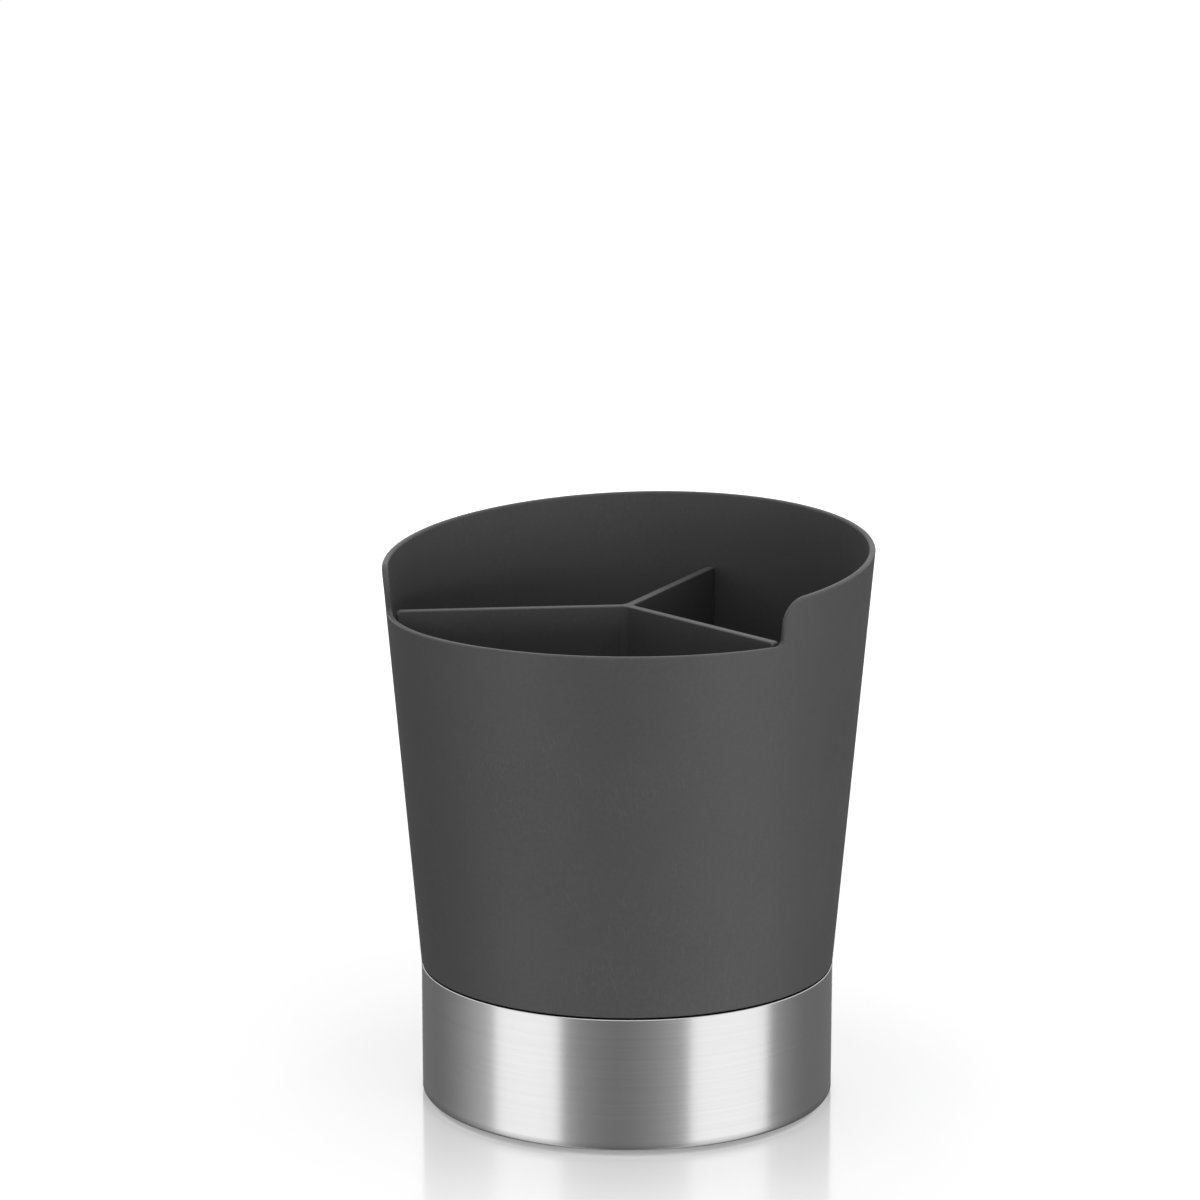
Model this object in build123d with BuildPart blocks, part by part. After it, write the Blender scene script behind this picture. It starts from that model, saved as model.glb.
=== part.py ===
"""A straw holder: a tapered cup in three compartments that turns on a weighted, steel-clad base.

The frame has its origin on the table, under the middle of the base. +Z is up and the low front
of the rim faces -Y. Angles round the cup are counted from that front, towards +X. Sizes are in
millimetres and degrees.
"""

import os
from math import cos, radians, sin, tan

from build123d import *

os.makedirs("parts", exist_ok=True)

# Clearances
seam_gap = 0.4  # between the steel sleeve and the cup that turns above it
loose_fit = 0.3  # between pieces that drop into one another
close_fit = 0.15  # between the sleeve and the moulding that it covers
press_gap = 0.02  # left between a pressed piece and its bore
running_gap = 0.05  # between the turning tube and its bush, all round
thrust_gap = 0.1  # end play of the pivot
ball_play = 0.05  # between a ball and the bottom of its track
track_clearance = 0.1  # a track is this much rounder than its balls
pocket_clearance = 0.15  # between a ball and its pocket
edge_gap = 2.5  # between the turntable and the wall round it
slot_gap = 0.35  # between the divider and each guide rib
end_gap = 1.0  # between the end of a divider arm and the cup
ballast_gap = 0.2  # between the ballast and the ribs over it

# Feet and bottom cover
foot_radius = 7.0
foot_thickness = 1.6
foot_proud = 0.4
foot_round = 0.3
foot_edge = 3.7
foot_count = 4
cover_lip_thickness = 0.6
cover_lip_inset = 1.5
cover_thickness = 3.2
cover_ring_wall = 1.6
cover_ring_height = 4.0
cover_panel_edge = 4.0
cover_panel_depth = 0.6
cover_edge_round = 0.4

# Steel sleeve
base_radius = 60.0
sleeve_height = 38.1
sleeve_wall = 0.8
sleeve_edge_round = 1.0
sleeve_top_round = 0.3
sleeve_flange = 7.0

# Ballast
ballast_hole_radius = 14.5
ballast_thickness = 9.0
ballast_chamfer = 0.8

# Moulded core of the base
core_wall = 2.5
core_recess = 1.0
core_chamfer_margin = 0.3
deck_thickness = 3.5
hub_wall = 3.0
rib_thickness = 1.8
rib_count = 8
boss_radius = 4.0
bolt_room = 2.0

# Screws that hold the cover to the core
screw_count = 4
screw_edge = 6.5
screw_radius = 1.45
screw_length = 12.0
screw_head_radius = 2.8
screw_head_height = 1.8
screw_head_recess = 0.2
screw_head_gap = 0.2
screw_head_round = 0.6

# Ball ring
ball_radius = 3.0
ball_count = 12
track_edge = 12.0
track_depth = 1.5
cage_thickness = 1.8
cage_width = 10.0
cage_round = 0.4

# Pivot
journal_radius = 5.0
journal_bore = 3.2
bush_wall = 2.0
bush_length = 15.0
bush_proud = 0.3
bush_flange_radius = 11.0
bush_flange_thickness = 1.5
washer_radius = 9.0
washer_thickness = 1.2
bolt_radius = 3.0
bolt_head_radius = 5.5
bolt_head_height = 4.0
bolt_head_round = 1.2
bolt_socket_width = 4.0
bolt_socket_depth = 2.2
insert_radius = 4.3
insert_length = 11.0
insert_knurl_depth = 0.4
insert_groove = 2.0
thread_gap = 0.05
bolt_end_gap = 1.0

# Turntable
plate_thickness = 4.5
plate_boss_radius = 12.0
plate_socket_depth = 1.0
plate_edge_chamfer = 0.8
lug_count = 3
lug_radius = 3.0
lug_height = 1.2
lug_inset = 12.0

# Cup
cup_draft = 5.06
cup_wall = 1.8
cup_edge_round = 0.5
skirt_depth = 3.0
floor_thickness = 2.4
floor_corner_round = 4.0
dome_radius = 11.0
dome_height = 13.0
dome_round = 2.0
dome_foot_round = 1.0
low_rim_height = 103.7
step_height = 12.5
step_half_angle = 60.3
high_rim_slope = 5.7
step_round = 8.0
step_foot_round = 1.8
rim_round = 0.7
guide_height = 60.0
guide_depth = 3.5
guide_width = 1.6

# Divider
arm_angles = (-60.0, 60.0, 180.0)
arm_thickness = 2.6
divider_height = 99.2
arm_corner_round = 1.2
arm_edge_round = 0.5
arm_root_round = 3.0

# Levels, from the table up
cover_bottom = foot_proud
sleeve_bottom = cover_bottom + cover_lip_thickness
cover_top = cover_bottom + cover_thickness
flange_top = sleeve_bottom + sleeve_wall
ballast_top = cover_top + ballast_thickness
sleeve_top = sleeve_bottom + sleeve_height
core_top = sleeve_top - core_recess
cup_bottom = sleeve_top + seam_gap
plate_top = cup_bottom + skirt_depth
plate_bottom = plate_top - plate_thickness
floor_top = plate_top + floor_thickness
dome_top = floor_top + dome_height
low_rim = cup_bottom + low_rim_height
step_top = low_rim + step_height
divider_top = floor_top + divider_height

# Levels of the bearing, from the turntable down
ball_level = plate_bottom + track_depth - ball_play - ball_radius
deck_top = ball_level - ball_radius - ball_play + track_depth
deck_bottom = deck_top - deck_thickness
bush_top = deck_top + bush_flange_thickness
bush_bottom = deck_top - bush_length
hub_bottom = bush_bottom + bush_proud
plate_boss_bottom = bush_top + thrust_gap
journal_top = plate_boss_bottom + plate_socket_depth
journal_bottom = bush_bottom - thrust_gap
washer_bottom = journal_bottom - washer_thickness
bolt_top = plate_top + insert_length - bolt_end_gap

# Radii that follow from a fit
sleeve_inside = base_radius - sleeve_wall
flange_inside = base_radius - sleeve_flange
core_radius = sleeve_inside - close_fit
core_inside = core_radius - core_wall
spigot_radius = flange_inside - loose_fit
cover_lip_radius = base_radius - sleeve_edge_round - cover_lip_inset
screw_circle = spigot_radius - screw_edge
foot_circle = spigot_radius - foot_edge - foot_radius
cover_ring_radius = screw_circle - boss_radius - loose_fit
cover_ring_inside = cover_ring_radius - cover_ring_wall
cover_panel_radius = foot_circle - foot_radius - cover_panel_edge
ballast_radius = cover_ring_inside - loose_fit
bush_bore = journal_radius + running_gap
bush_radius = bush_bore + bush_wall
hub_radius = bush_radius + hub_wall
plate_radius = core_inside - edge_gap
ball_circle = plate_radius - track_edge
lug_circle = ball_circle - lug_inset
track_radius = ball_radius + track_clearance


def cup_radius(z):
    """Radius of the outside of the tapered cup at height z."""
    return base_radius + (z - cup_bottom) * tan(radians(cup_draft))


def cup_inside(z):
    """Radius of the inside of the tapered cup at height z."""
    return cup_radius(z) - cup_wall


# Levels of the high rim: it leaves the tops of the steps and rises to the back
rim_rise = tan(radians(high_rim_slope))
high_rim = step_top + cup_radius(step_top) * cos(radians(step_half_angle)) * rim_rise
stock_top = high_rim + 2 * cup_radius(high_rim) * rim_rise


def radial_plane(angle):
    """Upright plane through the axis: its x points outwards at this angle, its y points up."""
    turn = radians(angle)
    return Plane((0, 0, 0), x_dir=(sin(turn), -cos(turn), 0), z_dir=(-cos(turn), -sin(turn), 0))


def at_the_rim(edge):
    """Whether an edge of the cup belongs to its rim."""
    return edge.center().Z > low_rim - rim_round


def keep(builder, name):
    """Label a finished piece and write it."""
    builder.part.label = name
    export_step(builder.part, f"parts/{name}.step")


# Feet: soft round pads in recesses of the cover
foot_spots = PolarLocations(foot_circle, foot_count).local_locations
for number, spot in enumerate(foot_spots, start=1):
    with BuildPart() as foot_pad:
        with BuildSketch(Plane.XY):
            with Locations(spot.position):
                Circle(foot_radius)
        extrude(amount=foot_thickness)
        fillet(foot_pad.edges().group_by(Axis.Z)[0], foot_round)
    keep(foot_pad, f"foot_pad_{number}")

# Bottom cover: its lip holds the sleeve's flange up against the core
with BuildPart() as bottom_cover:
    with BuildSketch(Plane.XY.offset(cover_bottom)):
        Circle(cover_lip_radius)
    extrude(amount=cover_lip_thickness)
    with BuildSketch(Plane.XY.offset(cover_bottom)):
        Circle(spigot_radius)
    extrude(amount=cover_thickness)
    with BuildSketch(Plane.XY.offset(cover_top)):
        Circle(cover_ring_radius)
        Circle(cover_ring_inside, mode=Mode.SUBTRACT)
    extrude(amount=cover_ring_height)
    with BuildSketch(Plane.XY.offset(cover_bottom)):
        Circle(cover_panel_radius)
    extrude(amount=cover_panel_depth, mode=Mode.SUBTRACT)
    fillet(bottom_cover.edges().group_by(Axis.Z)[0], cover_edge_round)
    with BuildSketch(Plane.XY.offset(cover_bottom)):
        with PolarLocations(foot_circle, foot_count):
            Circle(foot_radius + press_gap)
    extrude(amount=foot_thickness - foot_proud, mode=Mode.SUBTRACT)
    with BuildSketch(Plane.XY.offset(cover_bottom)):
        with PolarLocations(screw_circle, screw_count, start_angle=180 / screw_count):
            Circle(screw_head_radius + screw_head_gap)
    extrude(amount=screw_head_recess + screw_head_height, mode=Mode.SUBTRACT)
    with BuildSketch(Plane.XY.offset(cover_bottom)):
        with PolarLocations(screw_circle, screw_count, start_angle=180 / screw_count):
            Circle(screw_radius + thread_gap)
    extrude(amount=cover_thickness, mode=Mode.SUBTRACT)
keep(bottom_cover, "bottom_cover")

# Cover screws: one node for the whole set
screw_head_bottom = cover_bottom + screw_head_recess
screw_head_top = screw_head_bottom + screw_head_height
with BuildPart() as cover_screws:
    with BuildSketch(Plane.XY.offset(screw_head_bottom)):
        with PolarLocations(screw_circle, screw_count, start_angle=180 / screw_count):
            Circle(screw_head_radius)
    extrude(amount=screw_head_height)
    fillet(cover_screws.edges().group_by(Axis.Z)[0], screw_head_round)
    with BuildSketch(Plane.XY.offset(screw_head_top)):
        with PolarLocations(screw_circle, screw_count, start_angle=180 / screw_count):
            Circle(screw_radius)
    extrude(amount=screw_length)
keep(cover_screws, "cover_screws")

# Ballast: an iron ring that lies on the cover
with BuildPart() as ballast_disc:
    with BuildSketch(Plane.XY.offset(cover_top)):
        Circle(ballast_radius)
        Circle(ballast_hole_radius, mode=Mode.SUBTRACT)
    extrude(amount=ballast_thickness)
    chamfer(ballast_disc.edges().filter_by(GeomType.CIRCLE), ballast_chamfer)
keep(ballast_disc, "ballast_disc")

# Steel sleeve: a drawn band with its lower edge turned in
with BuildPart() as base_sleeve:
    with BuildSketch(Plane.XZ):
        with BuildLine():
            Polyline(
                (flange_inside, sleeve_bottom),
                (base_radius, sleeve_bottom),
                (base_radius, sleeve_top),
                (sleeve_inside, sleeve_top),
                (sleeve_inside, flange_top),
                (flange_inside, flange_top),
                close=True,
            )
        make_face()
    revolve(axis=Axis.Z)
    rings = base_sleeve.edges().filter_by(GeomType.CIRCLE)
    fillet(rings.filter_by_position(Axis.Z, sleeve_bottom, sleeve_bottom).sort_by(SortBy.RADIUS)[-1],
           sleeve_edge_round)
    rings = base_sleeve.edges().filter_by(GeomType.CIRCLE)
    fillet(rings.filter_by_position(Axis.Z, flange_top, flange_top).sort_by(SortBy.RADIUS)[-1],
           sleeve_edge_round - sleeve_wall)
    fillet(base_sleeve.edges().group_by(Axis.Z)[-1], sleeve_top_round)
keep(base_sleeve, "base_sleeve")

# Core: the moulding that carries the sleeve, the ball track and the pivot
with BuildPart() as base_core:
    with BuildSketch(Plane.XY.offset(flange_top)):
        Circle(core_radius)
        Circle(core_inside, mode=Mode.SUBTRACT)
    extrude(amount=core_top - flange_top)
    outer_foot = base_core.edges().group_by(Axis.Z)[0].sort_by(SortBy.RADIUS)[-1]
    chamfer(outer_foot, sleeve_edge_round - sleeve_wall + core_chamfer_margin)
    with BuildSketch(Plane.XY.offset(deck_bottom)):
        Circle(core_inside)
    extrude(amount=deck_thickness)
    with BuildSketch(Plane.XY.offset(hub_bottom)):
        Circle(hub_radius)
    extrude(amount=deck_bottom - hub_bottom)
    with BuildSketch(Plane.XY.offset(ballast_top + ballast_gap)):
        with PolarLocations(core_inside / 2, rib_count, start_angle=180 / rib_count):
            Rectangle(core_inside, rib_thickness)
    extrude(amount=deck_bottom - ballast_top - ballast_gap)
    with BuildSketch(Plane.XY.offset(cover_top)):
        with PolarLocations(screw_circle, screw_count, start_angle=180 / screw_count):
            Circle(boss_radius)
    extrude(amount=deck_bottom - cover_top)
    with BuildSketch(Plane.XY.offset(ballast_top)):
        Circle(washer_radius + bolt_room)
    extrude(amount=hub_bottom - ballast_top, mode=Mode.SUBTRACT)
    with BuildSketch(Plane.XY.offset(hub_bottom)):
        Circle(bush_radius + press_gap)
    extrude(amount=deck_top - hub_bottom, mode=Mode.SUBTRACT)
    with BuildSketch(Plane.XY.offset(cover_top)):
        with PolarLocations(screw_circle, screw_count, start_angle=180 / screw_count):
            Circle(screw_radius + thread_gap)
    extrude(amount=screw_head_top + screw_length - cover_top + loose_fit, mode=Mode.SUBTRACT)
    with BuildSketch(Plane.XZ):
        with Locations((ball_circle, ball_level + track_radius - ball_radius - ball_play)):
            Circle(track_radius)
    revolve(axis=Axis.Z, mode=Mode.SUBTRACT)
keep(base_core, "base_core")

# Pivot bush: flanged, pressed into the hub of the core
with BuildPart() as pivot_bush:
    with BuildSketch(Plane.XY.offset(deck_top)):
        Circle(bush_flange_radius)
    extrude(amount=bush_flange_thickness)
    with BuildSketch(Plane.XY.offset(bush_bottom)):
        Circle(bush_radius)
    extrude(amount=bush_length)
    with BuildSketch(Plane.XY.offset(bush_bottom)):
        Circle(bush_bore)
    extrude(amount=bush_top - bush_bottom, mode=Mode.SUBTRACT)
keep(pivot_bush, "pivot_bush")

# Ball cage and balls
with BuildPart() as ball_cage:
    with BuildSketch(Plane.XY.offset(ball_level - cage_thickness / 2)):
        Circle(ball_circle + cage_width / 2)
        Circle(ball_circle - cage_width / 2, mode=Mode.SUBTRACT)
    extrude(amount=cage_thickness)
    fillet(ball_cage.edges().filter_by(GeomType.CIRCLE), cage_round)
    with BuildSketch(Plane.XY.offset(ball_level - cage_thickness / 2)):
        with PolarLocations(ball_circle, ball_count):
            Circle(ball_radius + pocket_clearance)
    extrude(amount=cage_thickness, mode=Mode.SUBTRACT)
keep(ball_cage, "ball_cage")

ball_spots = PolarLocations(ball_circle, ball_count).local_locations
for number, spot in enumerate(ball_spots, start=1):
    with BuildPart() as ball:
        with Locations(spot.position + Vector(0, 0, ball_level)):
            Sphere(ball_radius)
    keep(ball, f"ball_{number:02d}")

# Turntable: the plate under the cup, with the upper ball track
with BuildPart() as turntable_plate:
    with BuildSketch(Plane.XY.offset(plate_bottom)):
        Circle(plate_radius)
    extrude(amount=plate_thickness)
    chamfer(turntable_plate.edges().filter_by(GeomType.CIRCLE), plate_edge_chamfer)
    with BuildSketch(Plane.XY.offset(plate_boss_bottom)):
        Circle(plate_boss_radius)
    extrude(amount=plate_bottom - plate_boss_bottom)
    with BuildSketch(Plane.XY.offset(plate_top)):
        with PolarLocations(lug_circle, lug_count):
            Circle(lug_radius)
    extrude(amount=lug_height)
    with BuildSketch(Plane.XY.offset(plate_boss_bottom)):
        Circle(journal_radius + press_gap)
    extrude(amount=plate_socket_depth, mode=Mode.SUBTRACT)
    with BuildSketch(Plane.XY.offset(plate_boss_bottom)):
        Circle(journal_bore)
    extrude(amount=plate_top - plate_boss_bottom, mode=Mode.SUBTRACT)
    with BuildSketch(Plane.XZ):
        with Locations((ball_circle, ball_level - track_radius + ball_radius + ball_play)):
            Circle(track_radius)
    revolve(axis=Axis.Z, mode=Mode.SUBTRACT)
keep(turntable_plate, "turntable_plate")

# Journal tube: turns in the bush and carries the turntable
with BuildPart() as journal_tube:
    with BuildSketch(Plane.XY.offset(journal_bottom)):
        Circle(journal_radius)
        Circle(journal_bore, mode=Mode.SUBTRACT)
    extrude(amount=journal_top - journal_bottom)
keep(journal_tube, "journal_tube")

# Thrust washer: keeps the cup from lifting off the balls
with BuildPart() as thrust_washer:
    with BuildSketch(Plane.XY.offset(washer_bottom)):
        Circle(washer_radius)
        Circle(journal_bore, mode=Mode.SUBTRACT)
    extrude(amount=washer_thickness)
keep(thrust_washer, "thrust_washer")

# Pivot bolt: clamps washer, tube and turntable to the cup
with BuildPart() as pivot_bolt:
    with BuildSketch(Plane.XY.offset(washer_bottom)):
        Circle(bolt_head_radius)
    extrude(amount=-bolt_head_height)
    fillet(pivot_bolt.edges().group_by(Axis.Z)[0], bolt_head_round)
    with BuildSketch(Plane.XY.offset(washer_bottom - bolt_head_height)):
        RegularPolygon(bolt_socket_width / 2, 6, major_radius=False)
    extrude(amount=bolt_socket_depth, mode=Mode.SUBTRACT)
    with BuildSketch(Plane.XY.offset(washer_bottom)):
        Circle(bolt_radius)
    extrude(amount=bolt_top - washer_bottom)
keep(pivot_bolt, "pivot_bolt")

# Threaded insert: a brass nut set into the dome of the cup
with BuildPart() as threaded_insert:
    with BuildSketch(Plane.XY.offset(plate_top)):
        Circle(insert_radius)
        Circle(bolt_radius + thread_gap, mode=Mode.SUBTRACT)
    extrude(amount=insert_length)
    with BuildSketch(Plane.XY.offset(plate_top + insert_length / 2 - insert_groove / 2)):
        Circle(insert_radius)
        Circle(insert_radius - insert_knurl_depth, mode=Mode.SUBTRACT)
    extrude(amount=insert_groove, mode=Mode.SUBTRACT)
keep(threaded_insert, "threaded_insert")

# Cup: turned shape first, then the rim, then the ribs that guide the divider
with BuildPart() as cup:
    with BuildSketch(Plane.XZ):
        with BuildLine():
            Polyline(
                (0, cup_bottom),
                (cup_radius(cup_bottom), cup_bottom),
                (cup_radius(stock_top), stock_top),
                (0, stock_top),
                close=True,
            )
        make_face()
    revolve(axis=Axis.Z)
    with BuildSketch(Plane.XZ) as hollow:
        with BuildLine():
            Polyline(
                (0, dome_top),
                (dome_radius, dome_top),
                (dome_radius, floor_top),
                (cup_inside(floor_top), floor_top),
                (cup_inside(stock_top), stock_top),
                (0, stock_top),
                close=True,
            )
        make_face()
        for corner, radius in (
            ((cup_inside(floor_top), floor_top), floor_corner_round),
            ((dome_radius, floor_top), dome_foot_round),
            ((dome_radius, dome_top), dome_round),
        ):
            fillet(hollow.vertices().sort_by_distance(corner)[0], radius)
    revolve(axis=Axis.Z, mode=Mode.SUBTRACT)
    with BuildSketch(Plane.XY.offset(cup_bottom)):
        Circle(cup_inside(cup_bottom))
    extrude(amount=skirt_depth, mode=Mode.SUBTRACT)
    with BuildSketch(Plane.XY.offset(plate_top)):
        Circle(insert_radius + press_gap)
        with PolarLocations(lug_circle, lug_count):
            Circle(lug_radius + close_fit)
    extrude(amount=lug_height + close_fit, mode=Mode.SUBTRACT)
    with BuildSketch(Plane.XY.offset(plate_top)):
        Circle(insert_radius + press_gap)
    extrude(amount=insert_length + loose_fit, mode=Mode.SUBTRACT)

    # The high rim is a plane that rises to the back
    reach = cup_radius(stock_top)
    rise = reach * rim_rise
    with BuildSketch(Plane.YZ):
        with BuildLine():
            Polyline(
                (-reach, high_rim - rise),
                (reach, high_rim + rise),
                (reach, stock_top + rise),
                (-reach, stock_top + rise),
                close=True,
            )
        make_face()
    extrude(amount=reach, both=True, mode=Mode.SUBTRACT)

    # The front is cut down between two radial steps
    side = 2 * reach * sin(radians(step_half_angle))
    step_end = -2 * reach * cos(radians(step_half_angle))
    with BuildSketch(Plane.XY.offset(low_rim)):
        with BuildLine():
            Polyline(
                (0, 0),
                (side, step_end),
                (side, -2 * reach),
                (-side, -2 * reach),
                (-side, step_end),
                close=True,
            )
        make_face()
    extrude(amount=stock_top - low_rim, mode=Mode.SUBTRACT)
    step_lines = cup.edges().filter_by(GeomType.LINE).filter_by(at_the_rim)
    fillet(step_lines.sort_by(Axis.Z)[-2:], step_round)
    step_lines = cup.edges().filter_by(GeomType.LINE).filter_by(at_the_rim)
    fillet(step_lines.sort_by(Axis.Z)[:2], step_foot_round)

    # The edge is rounded all the way along, inside and out
    walls = cup.faces().filter_by(GeomType.CONE).sort_by(SortBy.AREA)[-2:]
    fillet(walls.edges().filter_by(at_the_rim), rim_round)
    lowest = cup.edges().group_by(Axis.Z)[0]
    fillet(lowest.sort_by(SortBy.RADIUS)[-1], cup_edge_round)

    # Pairs of ribs keep each arm of the divider in its place
    guide_top = floor_top + guide_height
    for angle in arm_angles:
        for turn in (-1, 1):
            offset_to_rib = turn * (arm_thickness / 2 + slot_gap + guide_width / 2)
            with BuildSketch(radial_plane(angle).offset(offset_to_rib)):
                with BuildLine():
                    Polyline(
                        (cup_inside(floor_top) - guide_depth, floor_top - floor_thickness / 2),
                        (cup_inside(floor_top) + cup_wall / 2, floor_top - floor_thickness / 2),
                        (cup_inside(guide_top) + cup_wall / 2, guide_top),
                        (cup_inside(guide_top), guide_top),
                        (cup_inside(guide_top - guide_depth) - guide_depth, guide_top - guide_depth),
                        close=True,
                    )
                make_face()
            extrude(amount=guide_width / 2, both=True)
keep(cup, "cup")

# Divider: three arms that meet in the middle, cut out below to stand over the dome
with BuildPart() as divider_insert:
    for angle in arm_angles:
        with BuildSketch(radial_plane(angle)) as arm:
            with BuildLine():
                Polyline(
                    (0, floor_top),
                    (cup_inside(floor_top) - end_gap, floor_top),
                    (cup_inside(divider_top) - end_gap, divider_top),
                    (0, divider_top),
                    close=True,
                )
            make_face()
            for corner, radius in (
                ((cup_inside(floor_top) - end_gap, floor_top), floor_corner_round + end_gap),
                ((cup_inside(divider_top) - end_gap, divider_top), arm_corner_round),
            ):
                fillet(arm.vertices().sort_by_distance(corner)[0], radius)
        extrude(amount=arm_thickness / 2, both=True)
    roots = divider_insert.edges().filter_by(Axis.Z).filter_by(
        lambda e: Vector(e.center().X, e.center().Y).length < arm_thickness)
    fillet(roots, arm_root_round)
    with BuildSketch(Plane.XY.offset(floor_top)):
        Circle(dome_radius + dome_foot_round + loose_fit)
    extrude(amount=dome_height + loose_fit, mode=Mode.SUBTRACT)
    fillet(divider_insert.edges().group_by(Axis.Z)[-1], arm_edge_round)
keep(divider_insert, "divider_insert")
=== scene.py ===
# %% [markdown]
# # A straw holder
# A tapered plastic cup stands on a straight steel band and turns on a ball bearing that is hidden
# inside the band. A three-armed divider lifts out of the cup. The solids come from the packed
# model and keep their place and shape. This lesson gives them their finish, makes the small pieces
# that are easier to make here, and sets up the studio.

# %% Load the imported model
from math import cos, pi, radians, sin

import bmesh
import bpy
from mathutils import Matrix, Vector


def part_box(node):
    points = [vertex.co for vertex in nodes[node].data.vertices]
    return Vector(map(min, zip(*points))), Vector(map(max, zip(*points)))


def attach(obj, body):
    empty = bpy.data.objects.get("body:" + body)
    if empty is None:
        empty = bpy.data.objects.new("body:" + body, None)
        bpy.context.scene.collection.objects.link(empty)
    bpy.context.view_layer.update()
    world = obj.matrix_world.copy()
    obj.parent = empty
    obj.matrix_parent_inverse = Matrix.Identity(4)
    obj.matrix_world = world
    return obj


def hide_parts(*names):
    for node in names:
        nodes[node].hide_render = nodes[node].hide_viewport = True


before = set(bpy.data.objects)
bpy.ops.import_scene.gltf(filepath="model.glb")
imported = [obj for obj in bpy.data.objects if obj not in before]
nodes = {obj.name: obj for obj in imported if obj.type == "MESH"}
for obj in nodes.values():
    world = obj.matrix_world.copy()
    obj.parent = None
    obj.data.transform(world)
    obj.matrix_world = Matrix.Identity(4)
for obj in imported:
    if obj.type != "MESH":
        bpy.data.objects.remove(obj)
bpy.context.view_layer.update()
MM = 0.001

# %% [markdown]
# ## Sizes read from the model
# Sizes could be copied from the model by hand, but then both would have to change together. The
# boxes of a few solids tell where most pieces go. What a box can't tell, such as the wall of the
# band, is a named value in the cell that needs it.

# %% Read the main sizes
band_low, band_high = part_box("base_sleeve")
screws_low, screws_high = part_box("cover_screws")
foot_low, foot_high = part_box("foot_pad_1")
band_radius = band_high.x
foot_radius = (foot_high.x - foot_low.x) / 2
foot_circle = (foot_high.x + foot_low.x) / 2
print("radius of the band mm:", round(band_radius / MM, 2))
print("radius of a foot mm:", round(foot_radius / MM, 2))
print("radius of the circle of feet mm:", round(foot_circle / MM, 2))

# %% [markdown]
# ## Helpers for finishes
# A finish is a small graph of nodes. It could be drawn by hand in the node editor, but a script can
# make a dozen of them alike. One helper adds a node and plugs its inputs, and the others are the
# few sums that come back in every finish.

# %% Node helpers
def add(tree, kind, inputs=(), **settings):
    """Add a node, set its options, then plug or set its inputs."""
    made = tree.nodes.new(kind)
    for name, value in settings.items():
        setattr(made, name, value)
    for name, value in dict(inputs).items():
        if isinstance(value, bpy.types.NodeSocket):
            tree.links.new(value, made.inputs[name])
        else:
            made.inputs[name].default_value = value
    return made


def new_finish(name):
    """An empty material with its surface shader, and the place that patterns are read at."""
    finish = bpy.data.materials.new(name)
    finish.use_nodes = True
    tree = finish.node_tree
    surface = tree.nodes["Principled BSDF"]
    place = add(tree, "ShaderNodeTexCoord").outputs["Object"]
    return finish, tree, surface, place


def maths(tree, operation, first, second=0.0):
    """One sum on values."""
    return add(tree, "ShaderNodeMath", {0: first, 1: second}, operation=operation).outputs[0]


def spread(tree, value, low, high, start=0.3, end=0.7):
    """Turn a pattern into a number between low and high."""
    sockets = {"Value": value, "From Min": start, "From Max": end, "To Min": low, "To Max": high}
    return add(tree, "ShaderNodeMapRange", sockets).outputs["Result"]


def blend(tree, share, low, high):
    """A number between low and high, for a share from 0 to 1."""
    return spread(tree, share, low, high, 0.0, 1.0)


def rising(tree, value, start, end):
    """0 up to the start, 1 from the end on."""
    return spread(tree, value, 0.0, 1.0, start, end)


def falling(tree, value, start, end):
    """1 up to the start, 0 from the end on."""
    return spread(tree, value, 1.0, 0.0, start, end)


def part_of(tree, place, axis):
    """One coordinate of a place or direction."""
    return add(tree, "ShaderNodeSeparateXYZ", {"Vector": place}).outputs[axis]


print("node helpers ready")

# %% [markdown]
# ## Helpers for patterns
# Real surfaces are never one flat colour. Pictures could be wrapped round the pieces, but they need
# files and layouts, while noise needs neither. These helpers name the few patterns in use, so that
# each finish below reads like a recipe. All patterns are read at Object coordinates, in metres, so
# their sizes are real sizes.

# %% Pattern helpers
def stretched(tree, place, sizes, turn=(0.0, 0.0, 0.0)):
    """Pattern coordinates for blots of these three sizes, turned as a whole."""
    sockets = {"Vector": place, "Rotation": turn, "Scale": sizes}
    return add(tree, "ShaderNodeMapping", sockets, vector_type="TEXTURE").outputs["Vector"]


def clouds(tree, place, size, detail=2.0, roughness=0.5):
    """Soft blots of this size, from 0 to 1."""
    sockets = {"Vector": place, "Scale": 1 / size, "Detail": detail, "Roughness": roughness}
    return add(tree, "ShaderNodeTexNoise", sockets).outputs["Fac"]


def streaks(tree, place, sizes, turn=(0.0, 0.0, 0.0), detail=2.0):
    """Blots that are drawn out into lines."""
    return clouds(tree, stretched(tree, place, sizes, turn), 1.0, detail, roughness=0.6)


def facing_up(tree, start=0.35, end=0.9):
    """1 on faces that look up, 0 on upright ones. Turning the cup doesn't change it."""
    normal = add(tree, "ShaderNodeNewGeometry").outputs["Normal"]
    return rising(tree, part_of(tree, normal, "Z"), start, end)


def off_axis(tree, place):
    """Distance from the upright axis of the holder."""
    shares = {0: place, 1: (1.0, 1.0, 0.0)}
    flat = add(tree, "ShaderNodeVectorMath", shares, operation="MULTIPLY").outputs["Vector"]
    return add(tree, "ShaderNodeVectorMath", {0: flat}, operation="LENGTH").outputs["Value"]


def tint(tree, value, first, second, start=0.3, end=0.7):
    """Turn a pattern into a colour between two others."""
    ramp = add(tree, "ShaderNodeValToRGB", {"Fac": value})
    for stop, spot, colour in zip(ramp.color_ramp.elements, (start, end), (first, second)):
        stop.position = spot
        stop.color = (*colour, 1.0)
    return ramp.outputs["Color"]


def product(tree, *values):
    """All these values multiplied."""
    total = values[0]
    for value in values[1:]:
        total = maths(tree, "MULTIPLY", total, value)
    return total


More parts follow.
